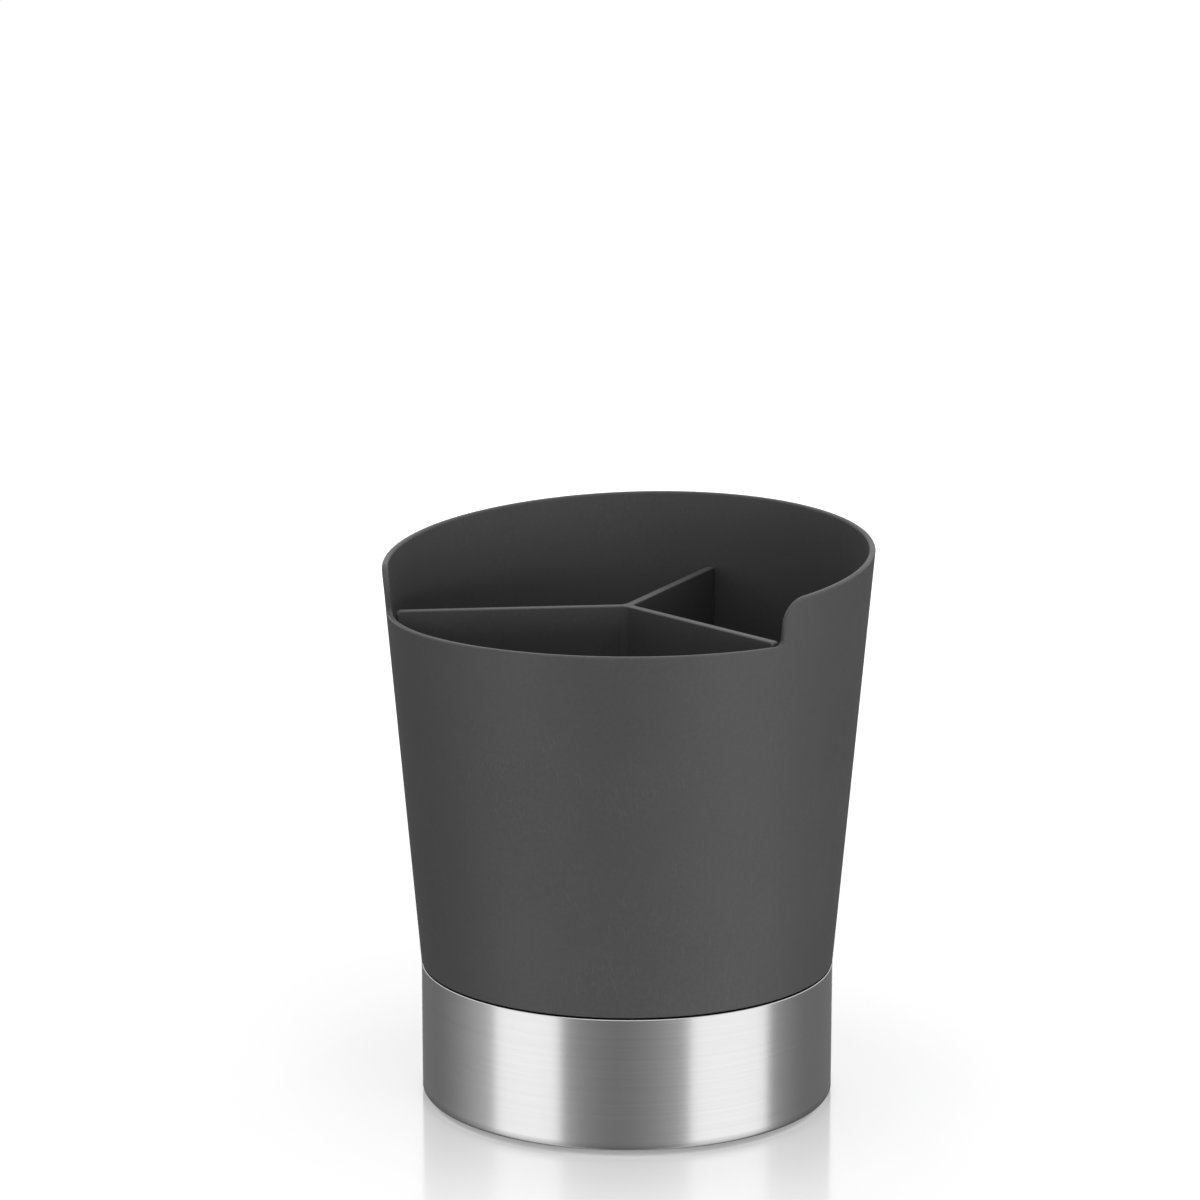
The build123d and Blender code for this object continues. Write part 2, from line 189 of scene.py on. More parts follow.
def strongest(tree, values):
    """The largest of these values."""
    largest = values[0]
    for value in values[1:]:
        largest = maths(tree, "MAXIMUM", largest, value)
    return largest


def finish_with(tree, surface, colour, gloss, height, depth):
    """Plug colour, roughness and a bump of this depth into the surface."""
    bump = add(tree, "ShaderNodeBump", {"Height": height, "Strength": 1.0, "Distance": depth})
    tree.links.new(colour, surface.inputs["Base Color"])
    tree.links.new(gloss, surface.inputs["Roughness"])
    tree.links.new(bump.outputs["Normal"], surface.inputs["Normal"])


print("pattern helpers ready")

# %% [markdown]
# ## Moulded plastic
# The cup and the divider are moulded in dark grey plastic. The mould was spark eroded, which
# leaves a fine matt grain. Hands polish that grain on faces that look up, which are also painted a
# touch lighter as a painted highlight, and what is dropped in leaves fine scratches. A picture of
# real scratches would show them too, but it would need a file and a layout. Noise that is drawn out
# into lines and cut off above a level gives them at any scale.

# %% Plastic of the cup and the divider
GRAIN = 0.4 * MM
GRAIN_DEPTH = 0.016 * MM
SPECKLE = 1.1 * MM
HANDLING = 26 * MM
FLOW = 70 * MM
RUB = 9 * MM
RUB_SHINE = 0.12
SCRATCH = (22 * MM, 0.3 * MM, 0.3 * MM)
SCRATCH_TURNS = ((0.3, 1.2, 0.5), (0.9, 0.4, 2.1), (1.4, 1.7, 0.2))
SCRATCH_LIGHT = 1.3
SCRATCH_RIDGE = 0.6
MATT_SPECULAR = 0.4


def scratches(tree, place, start=0.66, end=0.74):
    """Sparse thin lines in a few directions, in patches."""
    noise = [streaks(tree, place, SCRATCH, turn, detail=1) for turn in SCRATCH_TURNS]
    lines = strongest(tree, [rising(tree, line, start, end) for line in noise])
    patches = rising(tree, clouds(tree, place, HANDLING), 0.45, 0.6)
    return product(tree, lines, patches)


def moulded_plastic(name, level, gloss, painted_top_highlight):
    """Matt moulded plastic of this grey level, polished where it faces up, with a painted highlight
    there.
    """
    finish, tree, surface, place = new_finish(name)
    worn = spread(tree, clouds(tree, place, RUB, detail=3), 0.55, 1.0)
    # Faces that look up are polished (less rough) and painted lighter: a painted highlight.
    polished_and_highlit_top = product(tree, facing_up(tree), worn)
    marks = scratches(tree, place)
    tone = product(
        tree,
        spread(tree, clouds(tree, place, FLOW, detail=3), 0.94 * level, 1.06 * level),
        spread(tree, clouds(tree, place, SPECKLE, detail=1), 0.96, 1.04),
        blend(tree, polished_and_highlit_top, 1.0, 1.0 + painted_top_highlight),
        blend(tree, marks, 1.0, SCRATCH_LIGHT),
    )
    hands = spread(tree, clouds(tree, place, HANDLING, detail=4, roughness=0.6), *gloss)
    shine = maths(tree, "SUBTRACT", hands, blend(tree, polished_and_highlit_top, 0.0, RUB_SHINE))
    ridges = product(tree, marks, SCRATCH_RIDGE)
    grain = maths(tree, "ADD", clouds(tree, place, GRAIN, roughness=0.6), ridges)
    finish_with(tree, surface, tone, shine, grain, GRAIN_DEPTH)
    surface.inputs["Specular IOR Level"].default_value = MATT_SPECULAR
    return finish


cup_plastic = moulded_plastic("grey_cup_plastic", level=0.061, gloss=(0.46, 0.56), painted_top_highlight=0.35)
divider_plastic = moulded_plastic("grey_divider_plastic", level=0.066, gloss=(0.44, 0.55),
                                  painted_top_highlight=0.5)
print("plastic finishes:", cup_plastic.name, divider_plastic.name)

# %% [markdown]
# ## Black plastics of the base
# The moulding inside the band and the turntable are plain black plastic, shinier because their
# mould was only ground. The bottom cover was textured more coarsely so that scuffs from the table
# don't show. Two graphs could do that, but one recipe that is given its grain and its scuffs keeps
# the two blacks related.

# %% Black plastics
BLACK_SPECKLE = 1.5 * MM


def black_plastic(name, level, gloss, grain, depth, scuff):
    """Black plastic with grain of this size, and grey scuffs."""
    finish, tree, surface, place = new_finish(name)
    marks = scratches(tree, place, start=0.6, end=0.7)
    tone = product(
        tree,
        spread(tree, clouds(tree, place, FLOW, detail=3), 0.85 * level, 1.15 * level),
        spread(tree, clouds(tree, place, BLACK_SPECKLE), 0.92, 1.08),
        blend(tree, marks, 1.0, scuff),
    )
    shine = spread(tree, clouds(tree, place, HANDLING, detail=4, roughness=0.6), *gloss)
    finish_with(tree, surface, tone, shine, clouds(tree, place, grain, roughness=0.6), depth)
    return finish


core_plastic = black_plastic("black_core_plastic", level=0.022, gloss=(0.3, 0.42),
                             grain=1.5 * MM, depth=0.006 * MM, scuff=1.3)
cover_plastic = black_plastic("black_cover_plastic", level=0.026, gloss=(0.5, 0.68),
                              grain=0.7 * MM, depth=0.03 * MM, scuff=1.9)
print("black plastics:", core_plastic.name, cover_plastic.name)

# %% [markdown]
# ## Brushed steel
# The band is stainless steel, finished with a belt that runs round it. The belt leaves fine level
# lines: noise that is thin upwards and long sideways. Lines like these smear reflections across
# themselves, so bright cards show as upright bands. Bump alone would need lines far finer than a
# pixel for that. The shader's anisotropy does it, with its tangent running round the axis and turned
# by a quarter. Near the table the band is painted darker and made rougher: painted shade, like the
# shadowed floor that its lower edge would reflect.

# %% Steel of the band
BELT_LINE = (60 * MM, 60 * MM, 0.11 * MM)
BELT_BAND = (200 * MM, 200 * MM, 0.9 * MM)
BELT_DEPTH = 0.0008 * MM
FINGER = 15 * MM
FINGER_DULL = 0.02
FOOT_SHADE_HEIGHT = 2.4 * MM
FOOT_SHADE_TONE = 0.4
FOOT_SHADE_DULL = 0.12
QUARTER_TURN = 0.25


def brushed_steel(name, level, gloss, smear):
    """Steel with level belt lines round the upright axis, faint finger marks, and painted shade near
    its foot.
    """
    finish, tree, surface, place = new_finish(name)
    lines = streaks(tree, place, BELT_LINE, detail=3)
    broad = streaks(tree, place, BELT_BAND)
    fingers = rising(tree, clouds(tree, place, FINGER, detail=3, roughness=0.6), 0.5, 0.75)
    # Painted shade: the band is darker and rougher over its lowest few millimetres.
    painted_foot_shade = falling(tree, part_of(tree, place, "Z"), band_low.z, band_low.z + FOOT_SHADE_HEIGHT)
    tone = product(
        tree,
        spread(tree, lines, 0.97 * level, 1.03 * level),
        spread(tree, broad, 0.985, 1.015),
        blend(tree, painted_foot_shade, 1.0, FOOT_SHADE_TONE),
    )
    smudges = product(tree, fingers, FINGER_DULL)
    dulled = maths(tree, "ADD", smudges, product(tree, painted_foot_shade, FOOT_SHADE_DULL))
    shine = maths(tree, "ADD", spread(tree, lines, *gloss), dulled)
    finish_with(tree, surface, tone, shine, lines, BELT_DEPTH)
    surface.inputs["Metallic"].default_value = 1.0
    surface.inputs["Anisotropic"].default_value = smear
    surface.inputs["Anisotropic Rotation"].default_value = QUARTER_TURN
    tangent = add(tree, "ShaderNodeTangent", direction_type="RADIAL", axis="Z")
    tree.links.new(tangent.outputs["Tangent"], surface.inputs["Tangent"])
    return finish


band_steel = brushed_steel("band_steel", level=0.66, gloss=(0.21, 0.25), smear=0.6)
print("steel of the band:", band_steel.name)

# %% [markdown]
# ## Metals of the bearing and the fasteners
# Bolt, washer, tube and screws are zinc plated, which looks bluish with a breath of yellow. The
# balls are polished. The insert is brass with a tarnish. All of these are one recipe: a colour that
# drifts between two tints, and tool marks of a given shape. One graph for each would only repeat it.

# %% Plated, polished and brass
TOOL_MARK_DEPTH = 0.004 * MM


def plated_metal(name, first, second, gloss, blot, lines):
    """Metal whose colour drifts between two tints, with fine tool marks."""
    finish, tree, surface, place = new_finish(name)
    drift = clouds(tree, place, blot, detail=3, roughness=0.6)
    marks = streaks(tree, place, lines)
    shine = maths(tree, "ADD", spread(tree, marks, *gloss), spread(tree, drift, 0.0, 0.05))
    finish_with(tree, surface, tint(tree, drift, first, second), shine, marks, TOOL_MARK_DEPTH)
    surface.inputs["Metallic"].default_value = 1.0
    return finish


pivot_zinc = plated_metal("pivot_zinc", (0.5, 0.53, 0.58), (0.62, 0.6, 0.55),
                          gloss=(0.24, 0.36), blot=5 * MM, lines=(4 * MM, 4 * MM, 0.2 * MM))
screw_zinc = plated_metal("screw_zinc", (0.42, 0.45, 0.5), (0.56, 0.54, 0.48),
                          gloss=(0.26, 0.4), blot=2 * MM, lines=(0.15 * MM, 2 * MM, 2 * MM))
ball_polish = plated_metal("ball_polish", (0.72, 0.73, 0.75), (0.78, 0.78, 0.78),
                           gloss=(0.05, 0.12), blot=3 * MM, lines=(3 * MM, 0.1 * MM, 0.1 * MM))
insert_brass = plated_metal("tarnished_brass", (0.68, 0.49, 0.2), (0.5, 0.36, 0.16),
                            gloss=(0.22, 0.38), blot=3 * MM, lines=(0.25 * MM, 0.25 * MM, 4 * MM))
print("metals:", [metal.name for metal in (pivot_zinc, screw_zinc, ball_polish, insert_brass)])

# %% [markdown]
# ## Iron of the ballast
# The ballast is an iron ring with turned faces that was oiled and still rusts in specks. Plain noise
# could roughen it, but a lathe leaves rings. They come from noise that reads only the distance from
# the axis, so it is the same all the way round.

# %% Iron of the ballast
LATHE_RING = 0.35 * MM
LATHE_DEPTH = 0.02 * MM
RUST = 4 * MM
OIL = 20 * MM
BARE_IRON = (0.13, 0.125, 0.12)
RUSTY_IRON = (0.16, 0.07, 0.035)


def turned_iron(name):
    """Dark iron with rings from the lathe, oil and specks of rust."""
    finish, tree, surface, place = new_finish(name)
    radius = add(tree, "ShaderNodeCombineXYZ", {"X": off_axis(tree, place)}).outputs["Vector"]
    rings = clouds(tree, radius, LATHE_RING, detail=1)
    rust = clouds(tree, place, RUST, detail=4, roughness=0.65)
    oiled = spread(tree, clouds(tree, place, OIL, detail=3), 0.32, 0.5)
    shine = maths(tree, "ADD", oiled, spread(tree, rust, 0.0, 0.3, start=0.58, end=0.68))
    colour = tint(tree, rust, BARE_IRON, RUSTY_IRON, start=0.58, end=0.7)
    finish_with(tree, surface, colour, shine, rings, LATHE_DEPTH)
    surface.inputs["Metallic"].default_value = 0.85
    return finish


ballast_iron = turned_iron("oiled_iron")
print("iron:", ballast_iron.name)

# %% [markdown]
# ## Bearing plastics
# The bush and the ball cage are natural plastics, a warm white that lets a little light in. A paler
# colour alone would look like paint, so a little subsurface scattering carries the light.

# %% Natural plastics
WHITE_FLOW = 8 * MM
WHITE_SHEEN = 3 * MM
WHITE_GRAIN = 0.6 * MM
WHITE_GRAIN_DEPTH = 0.005 * MM
LIGHT_REACH = 1.5 * MM


def natural_plastic(name, first, second, gloss):
    """Warm white bearing plastic with flow marks."""
    finish, tree, surface, place = new_finish(name)
    colour = tint(tree, clouds(tree, place, WHITE_FLOW, detail=3), first, second)
    shine = spread(tree, clouds(tree, place, WHITE_SHEEN), *gloss)
    grain = clouds(tree, place, WHITE_GRAIN)
    finish_with(tree, surface, colour, shine, grain, WHITE_GRAIN_DEPTH)
    surface.inputs["Subsurface Weight"].default_value = 0.1
    surface.inputs["Subsurface Radius"].default_value = (1.0, 0.9, 0.7)
    surface.inputs["Subsurface Scale"].default_value = LIGHT_REACH
    return finish


bush_acetal = natural_plastic("bush_acetal", (0.72, 0.7, 0.65), (0.8, 0.79, 0.75),
                              gloss=(0.25, 0.38))
cage_nylon = natural_plastic("cage_nylon", (0.62, 0.6, 0.52), (0.72, 0.7, 0.62),
                             gloss=(0.35, 0.5))
print("bearing plastics:", bush_acetal.name, cage_nylon.name)

# %% [markdown]
# ## Rubber of the feet
# The feet are soft black rubber, which picks up dust from the table. The dust could be real specks,
# but they would be too small to see one by one. Noise with fine detail, cut off above a level, gives
# the same grey bloom.

# %% Rubber
DUST = 1.6 * MM
RUBBER_WEAR = 6 * MM
RUBBER_GRAIN = 0.3 * MM
RUBBER_GRAIN_DEPTH = 0.02 * MM
CLEAN_RUBBER = (0.016, 0.016, 0.016)
DUSTY_RUBBER = (0.075, 0.072, 0.068)


def soft_rubber(name):
    """Matt black rubber with dust in its grain."""
    finish, tree, surface, place = new_finish(name)
    dust = clouds(tree, place, DUST, detail=4, roughness=0.7)
    worn = spread(tree, clouds(tree, place, RUBBER_WEAR), 0.62, 0.78)
    shine = maths(tree, "ADD", worn, spread(tree, dust, 0.0, 0.15, start=0.5, end=0.65))
    colour = tint(tree, dust, CLEAN_RUBBER, DUSTY_RUBBER, start=0.52, end=0.72)
    grain = clouds(tree, place, RUBBER_GRAIN)
    finish_with(tree, surface, colour, shine, grain, RUBBER_GRAIN_DEPTH)
    surface.inputs["Specular IOR Level"].default_value = 0.3
    return finish


foot_rubber = soft_rubber("dusty_rubber")
print("rubber:", foot_rubber.name)

# %% [markdown]
# ## Finishes on the solids
# Each solid of the model has one place for a finish. A list says which solid wears what. It could
# be a call for each solid, but a list shows at a glance that none is forgotten. The band, the
# screws and the feet aren't in it, because pieces made below take their place.

# %% Dress the solids of the model
balls = [name for name in nodes if name.startswith("ball_") and name != "ball_cage"]
WORN_BY = (
    (cup_plastic, ["cup"]),
    (divider_plastic, ["divider_insert"]),
    (core_plastic, ["base_core", "turntable_plate"]),
    (cover_plastic, ["bottom_cover"]),
    (pivot_zinc, ["journal_tube", "thrust_washer", "pivot_bolt"]),
    (ball_polish, balls),
    (insert_brass, ["threaded_insert"]),
    (ballast_iron, ["ballast_disc"]),
    (bush_acetal, ["pivot_bush"]),
    (cage_nylon, ["ball_cage"]),
)
for finish, names in WORN_BY:
    for name in names:
        slots = nodes[name].data.materials
        slots.clear()
        slots.append(finish)
print("solids with a finish:", sum(len(names) for finish, names in WORN_BY), "of", len(nodes))

# %% [markdown]
# ## Turned shapes
# The band, a screw and a foot are all round, so one profile turned about an axis makes each of
# them. A stack of cylinders could do it too, but a profile also takes the small rounds and grooves
# that catch light.

# %% Lathe helper
MERGE = 0.001 * MM
REAL_CORNER = radians(35)


def turned(name, profile, steps):
    """A mesh turned about the upright axis from points of (radius, height)."""
    shape = bmesh.new()
    points = [shape.verts.new((radius, 0, height)) for radius, height in profile]
    lines = [shape.edges.new(pair) for pair in zip(points, points[1:])]
    bmesh.ops.spin(shape, geom=points + lines, axis=(0, 0, 1), cent=(0, 0, 0),
                   angle=2 * pi, steps=steps)
    bmesh.ops.remove_doubles(shape, verts=shape.verts[:], dist=MERGE)
    bmesh.ops.recalc_face_normals(shape, faces=shape.faces[:])
    mesh = bpy.data.meshes.new(name)
    shape.to_mesh(mesh)
    shape.free()
    made = bpy.data.objects.new(name, mesh)
    bpy.context.scene.collection.objects.link(made)
    return made


def rounded(centre, radius, start, end, steps=4):
    """Points of a round corner, from one angle to another in degrees."""
    angles = [radians(start + (end - start) * step / steps) for step in range(steps + 1)]
    return [(centre[0] + radius * cos(angle), centre[1] + radius * sin(angle)) for angle in angles]


def show_smooth(piece):
    """Smooth shading, apart from real corners."""
    piece.data.shade_smooth()
    piece.data.set_sharp_from_angle(angle=REAL_CORNER)


print("lathe ready")

# %% [markdown]
# ## The steel band
# The band is drawn from sheet: an upright wall, a lower edge that turns in to a flange, and an
# upper edge without burrs. The model has that shape, but steel shows every facet, and the facets of
# its rounded lower edge are uneven. The same profile turned in even steps has facets of one size. A
# narrow ring beside each round keeps the shading of the flat faces flat.

# %% Band
BAND_WALL = 0.8 * MM
BAND_FLANGE = 7.0 * MM
BAND_FOOT_ROUND = 1.0 * MM
BAND_TOP_ROUND = 0.3 * MM
BAND_STEPS = 320
HOLD = 0.06 * MM

wall_inside = band_radius - BAND_WALL
flange_inside = band_radius - BAND_FLANGE
foot_centre = (band_radius - BAND_FOOT_ROUND, band_low.z + BAND_FOOT_ROUND)
inner_round = BAND_FOOT_ROUND - BAND_WALL
flange_top = band_low.z + BAND_WALL
top_start = band_high.z - BAND_TOP_ROUND
band_profile = [(flange_inside, band_low.z), (foot_centre[0] - HOLD, band_low.z)]
band_profile += rounded(foot_centre, BAND_FOOT_ROUND, -90, 0, steps=10)
band_profile += [(band_radius, foot_centre[1] + HOLD), (band_radius, top_start - HOLD)]
band_profile += rounded((band_radius - BAND_TOP_ROUND, top_start), BAND_TOP_ROUND, 0, 90, steps=5)
band_profile += rounded((wall_inside + BAND_TOP_ROUND, top_start), BAND_TOP_ROUND, 90, 180, steps=5)
band_profile += [(wall_inside, top_start - HOLD), (wall_inside, foot_centre[1] + HOLD)]
band_profile += rounded(foot_centre, inner_round, 0, -90)
band_profile += [(foot_centre[0] - HOLD, flange_top), (flange_inside, flange_top)]
band = turned("steel_band", band_profile + band_profile[:1], BAND_STEPS)
band.data.materials.append(band_steel)
show_smooth(band)
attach(band, "base")
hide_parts("base_sleeve")
print("band faces:", len(band.data.polygons))

# %% [markdown]
# ## One screw
# The model's screws are plain. A real one has a thread and a cross for the driver. A true thread
# would be a helix, but hardly any of it shows, so ridges that are turned with the head are enough.
# The face of the head is left open for the cross. The head looks down, so its face is at height 0
# and the shank goes up.

# %% Screw
SCREW_HEAD = 2.8 * MM
SCREW_HEAD_HEIGHT = 1.8 * MM
SCREW_HEAD_ROUND = 0.6 * MM
THREAD_ROOT = 1.12 * MM
THREAD_CREST = 1.45 * MM
THREAD_PITCH = 1.0 * MM
THREAD_RISE = 0.3 * THREAD_PITCH
SCREW_STEPS = 40
screw_length = screws_high.z - screws_low.z

head_edge = rounded((SCREW_HEAD - SCREW_HEAD_ROUND, SCREW_HEAD_ROUND), SCREW_HEAD_ROUND, -90, 0)
screw_profile = head_edge + [(SCREW_HEAD, SCREW_HEAD_HEIGHT), (THREAD_ROOT, SCREW_HEAD_HEIGHT)]
thread_turns = int((screw_length - SCREW_HEAD_HEIGHT) / THREAD_PITCH) - 1
for turn in range(thread_turns):
    start = SCREW_HEAD_HEIGHT + turn * THREAD_PITCH + THREAD_RISE
    screw_profile += [(THREAD_ROOT, start), (THREAD_CREST, start + THREAD_RISE)]
    screw_profile += [(THREAD_ROOT, start + 2 * THREAD_RISE)]
screw_profile += [(THREAD_ROOT, screw_length - THREAD_PITCH), (0, screw_length)]
screw = turned("screw_blank", screw_profile, SCREW_STEPS)
print("screw length mm:", round(screw_length / MM, 2), "turns of thread:", thread_turns)

# %% [markdown]
# ## The cross in the head
# A driver needs a cross that narrows as it goes in. A Boolean could cut it out of a closed face, but
# it leaves slivers. Here the walls of the cross are made first, and the face is filled between them
# and the edge of the head.

# %% Cross recess
CROSS_REACH = 1.45 * MM
CROSS_WIDTH = 0.5 * MM
CROSS_DEPTH = 1.25 * MM
CROSS_TAPER = 0.38


def sink_cross(piece):
    """Close the open face of a screw head round a cross that narrows upwards."""
    half = CROSS_WIDTH / 2
    quarter = [(CROSS_REACH, -half), (CROSS_REACH, half), (half, half)]
    outline = [(x * cos(a) - y * sin(a), x * sin(a) + y * cos(a))
               for a in (0, pi / 2, pi, 3 * pi / 2) for x, y in quarter]
    shape = bmesh.new()
    shape.from_mesh(piece.data)
    head_rim = [line for line in shape.edges if line.is_boundary]
    mouth = [shape.verts.new((x, y, 0)) for x, y in outline]
    bottom = [shape.verts.new((x * CROSS_TAPER, y * CROSS_TAPER, CROSS_DEPTH)) for x, y in outline]
    mouth_rim = []
    for number in range(len(outline)):
        shape.faces.new((mouth[number - 1], mouth[number], bottom[number], bottom[number - 1]))
        mouth_rim.append(shape.edges.get((mouth[number - 1], mouth[number])))
    shape.faces.new(bottom)
    bmesh.ops.triangle_fill(shape, edges=head_rim + mouth_rim, use_beauty=True, normal=(0, 0, -1))
    bmesh.ops.recalc_face_normals(shape, faces=shape.faces[:])
    shape.to_mesh(piece.data)
    shape.free()


sink_cross(screw)
print("screw faces:", len(screw.data.polygons))

# %% [markdown]
# ## One rubber foot
# A plain disc would slide. Rubber feet have ridges that grip: this one has four. Rings could be put
# on a disc one by one, but in one turned profile the foot stays a single closed skin. The ridges
# reach down to the table and the grooves between them don't.

# %% Foot
RIDGES = (1.1 * MM, 2.8 * MM, 4.5 * MM, 6.2 * MM)
RIDGE_TOP = 0.28 * MM
RIDGE_FOOT = 0.5 * MM
GROOVE = 0.3 * MM
FOOT_BEVEL = 0.2 * MM
FOOT_STEPS = 64
foot_height = foot_high.z - foot_low.z

foot_profile = [(0, GROOVE)]
for ridge in RIDGES:
    foot_profile += [(ridge - RIDGE_FOOT, GROOVE), (ridge - RIDGE_TOP, 0), (ridge + RIDGE_TOP, 0)]
    foot_profile += [(min(ridge + RIDGE_FOOT, foot_radius), GROOVE)]
foot_profile += [(foot_radius, GROOVE + FOOT_BEVEL), (foot_radius, foot_height), (0, foot_height)]
foot = turned("foot_blank", foot_profile, FOOT_STEPS)
print("foot height mm:", round(foot_height / MM, 2), "ridges:", len(RIDGES))

# %% [markdown]
# ## Rings of pieces
# Screws and feet each stand on a circle. Copies in a loop would work, but a node tree keeps count,
# radius and turn as named inputs, and the same tree makes both rings. Each copy gets a turn of its
# own, as screws never stop at the same angle.

# %% Node tree for a ring of copies
RING_INPUTS = {"Piece": "Object", "Count": "Int", "Circle radius": "Float", "First angle": "Float",
               "Height": "Float", "Loose turn": "Float", "Finish": "Material"}
TURN_SEED = 7


def ring_tree():
    """Copies of one piece on a level circle."""
    tree = bpy.data.node_groups.new("ring_of_pieces", "GeometryNodeTree")
    face = tree.interface
    face.new_socket("Geometry", in_out="OUTPUT", socket_type="NodeSocketGeometry")
    for label, kind in RING_INPUTS.items():
        face.new_socket(label, in_out="INPUT", socket_type="NodeSocket" + kind)
    given = tree.nodes.new("NodeGroupInput").outputs
    circle = add(tree, "GeometryNodeMeshCircle",
                 {"Vertices": given["Count"], "Radius": given["Circle radius"]})
    lift = add(tree, "ShaderNodeCombineXYZ", {"Z": given["Height"]}).outputs["Vector"]
    start = add(tree, "ShaderNodeCombineXYZ", {"Z": given["First angle"]}).outputs["Vector"]
    spots = add(tree, "GeometryNodeTransform",
                {"Geometry": circle.outputs["Mesh"], "Translation": lift, "Rotation": start})
    chance = add(tree, "FunctionNodeRandomValue", {"Seed": TURN_SEED}, data_type="FLOAT")
    # Input 3 is the largest value and output 1 the result, both as plain numbers
    tree.links.new(given["Loose turn"], chance.inputs[3])
    swing = add(tree, "ShaderNodeCombineXYZ", {"Z": chance.outputs[1]}).outputs["Vector"]
    turn = add(tree, "FunctionNodeEulerToRotation", {"Euler": swing}).outputs["Rotation"]
    piece = add(tree, "GeometryNodeObjectInfo", {"Object": given["Piece"]}).outputs["Geometry"]
    copies = add(tree, "GeometryNodeInstanceOnPoints",
                 {"Points": spots.outputs["Geometry"], "Instance": piece, "Rotation": turn})
    solid = add(tree, "GeometryNodeRealizeInstances", {"Geometry": copies.outputs["Instances"]})
    dressed = add(tree, "GeometryNodeSetMaterial",
                  {"Geometry": solid.outputs["Geometry"], "Material": given["Finish"]})
    result = tree.nodes.new("NodeGroupOutput")
    tree.links.new(dressed.outputs["Geometry"], result.inputs["Geometry"])
    return tree


ring_of_pieces = ring_tree()
print("inputs of the ring:", list(RING_INPUTS))

# %% [markdown]
# ## Screws and feet in place
# The tree runs once for each ring, with sizes of its own. The modifier could stay on the ring, but a
# plain mesh is what other programs can read, so the result is kept and the modifier goes.

# %% Make both rings
def plain_mesh(piece):
    """The piece's mesh as its modifiers leave it."""
    graph = bpy.context.evaluated_depsgraph_get()
    return bpy.data.meshes.new_from_object(piece.evaluated_get(graph), depsgraph=graph)


def make_ring(name, finish, **sizes):
    """Run the tree with these sizes and keep its result as a plain mesh."""
    made = bpy.data.objects.new(name, bpy.data.meshes.new(name))
    bpy.context.scene.collection.objects.link(made)
    ring = made.modifiers.new("ring", "NODES")
    ring.node_group = ring_of_pieces
    sizes["finish"] = finish
    for item in ring_of_pieces.interface.items_tree:
        if item.in_out == "INPUT":
            ring[item.identifier] = sizes[item.name.lower().replace(" ", "_")]
    mesh = plain_mesh(made)
    made.modifiers.remove(ring)
    made.data = mesh
    return made


SCREW_ANGLE = pi / 4
screw_circle = (screws_high.x - SCREW_HEAD) / cos(SCREW_ANGLE)
screw_ring = make_ring("screw_ring", screw_zinc, piece=screw, count=4, circle_radius=screw_circle,
                       first_angle=SCREW_ANGLE, height=screws_low.z, loose_turn=pi / 2)
foot_ring = make_ring("foot_ring", foot_rubber, piece=foot, count=4, circle_radius=foot_circle,
                      first_angle=0.0, height=foot_low.z, loose_turn=0.0)
for blank in (screw, foot):
    bpy.data.objects.remove(blank)
for ring in (screw_ring, foot_ring):
    show_smooth(ring)
    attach(ring, "base")
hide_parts("cover_screws")
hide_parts("foot_pad_1", "foot_pad_2", "foot_pad_3", "foot_pad_4")
print("radius of the circle of screws mm:", round(screw_circle / MM, 2))
print("faces:", len(screw_ring.data.polygons), len(foot_ring.data.polygons))

# %% [markdown]
# ## The surround
# White all round, for the camera and for light. Steel shows what stands round it, and in the
# photograph that is two bright cards, left and right of the camera, each in front of a faint halo,
# with dark gaps between them. A narrow third card behind gives the back of the band a streak too.
# Real cards would need stands round the holder. They can be painted into the surround instead, by
# direction, for reflections that look down or that bounce twice. Other reflections that look up
# see plain white, so the floor stays white.

# %% Surround
CAMERA_AZIMUTH = 22.5
AMBIENT = 0.48
GAP_LEVEL = 0.18
CARD_LEVEL = 1.3
CARD_EDGE = 2
CARDS = ((-57.5, 19.6), (60.0, 23.9), (180.0, 9.0))
HALO_LEVEL = 0.69
HALO_REACH = 69
HALOS = (-66.5, 56.0)
UPWARD = (0.02, 0.14)
ONE_BOUNCE = 1.5


def any_of(tree, *names):
    """1 for any of these kinds of ray, otherwise 0."""
    path = add(tree, "ShaderNodeLightPath")
    return strongest(tree, [path.outputs[name] for name in names])


def degrees_off(tree, around, middle):
    """How far a direction is from a middle, in degrees round the holder."""
    return maths(tree, "PINGPONG", maths(tree, "SUBTRACT", around, middle), 180.0)


def card(tree, around, middle, half_width):
    """1 on an upright card and 0 beside it."""
    off = degrees_off(tree, around, middle)
    return falling(tree, off, half_width, half_width + CARD_EDGE)


def halo(tree, around, middle):
    """Faint light that fades away on both sides."""
    fade = falling(tree, degrees_off(tree, around, middle), 0.0, HALO_REACH)
    return product(tree, fade, fade, HALO_LEVEL)


def card_light(tree, towards):
    """What reflections see in this direction, counted from the camera's side."""
    turn = (0, 0, -radians(CAMERA_AZIMUTH))
    seen = add(tree, "ShaderNodeMapping", {"Vector": towards, "Rotation": turn}).outputs["Vector"]
    near = maths(tree, "MULTIPLY", part_of(tree, seen, "Y"), -1.0)
    around = maths(tree, "DEGREES", maths(tree, "ARCTAN2", part_of(tree, seen, "X"), near))
    covered = strongest(tree, [card(tree, around, *sizes) for sizes in CARDS])
    faint = maths(tree, "ADD", *(halo(tree, around, middle) for middle in HALOS))
    cards = blend(tree, covered, maths(tree, "ADD", faint, GAP_LEVEL), CARD_LEVEL)
    upward = rising(tree, part_of(tree, seen, "Z"), *UPWARD)
    bounces = add(tree, "ShaderNodeLightPath").outputs["Glossy Depth"]
    plain_share = product(tree, upward, maths(tree, "LESS_THAN", bounces, ONE_BOUNCE))
    return blend(tree, plain_share, cards, 1.0)


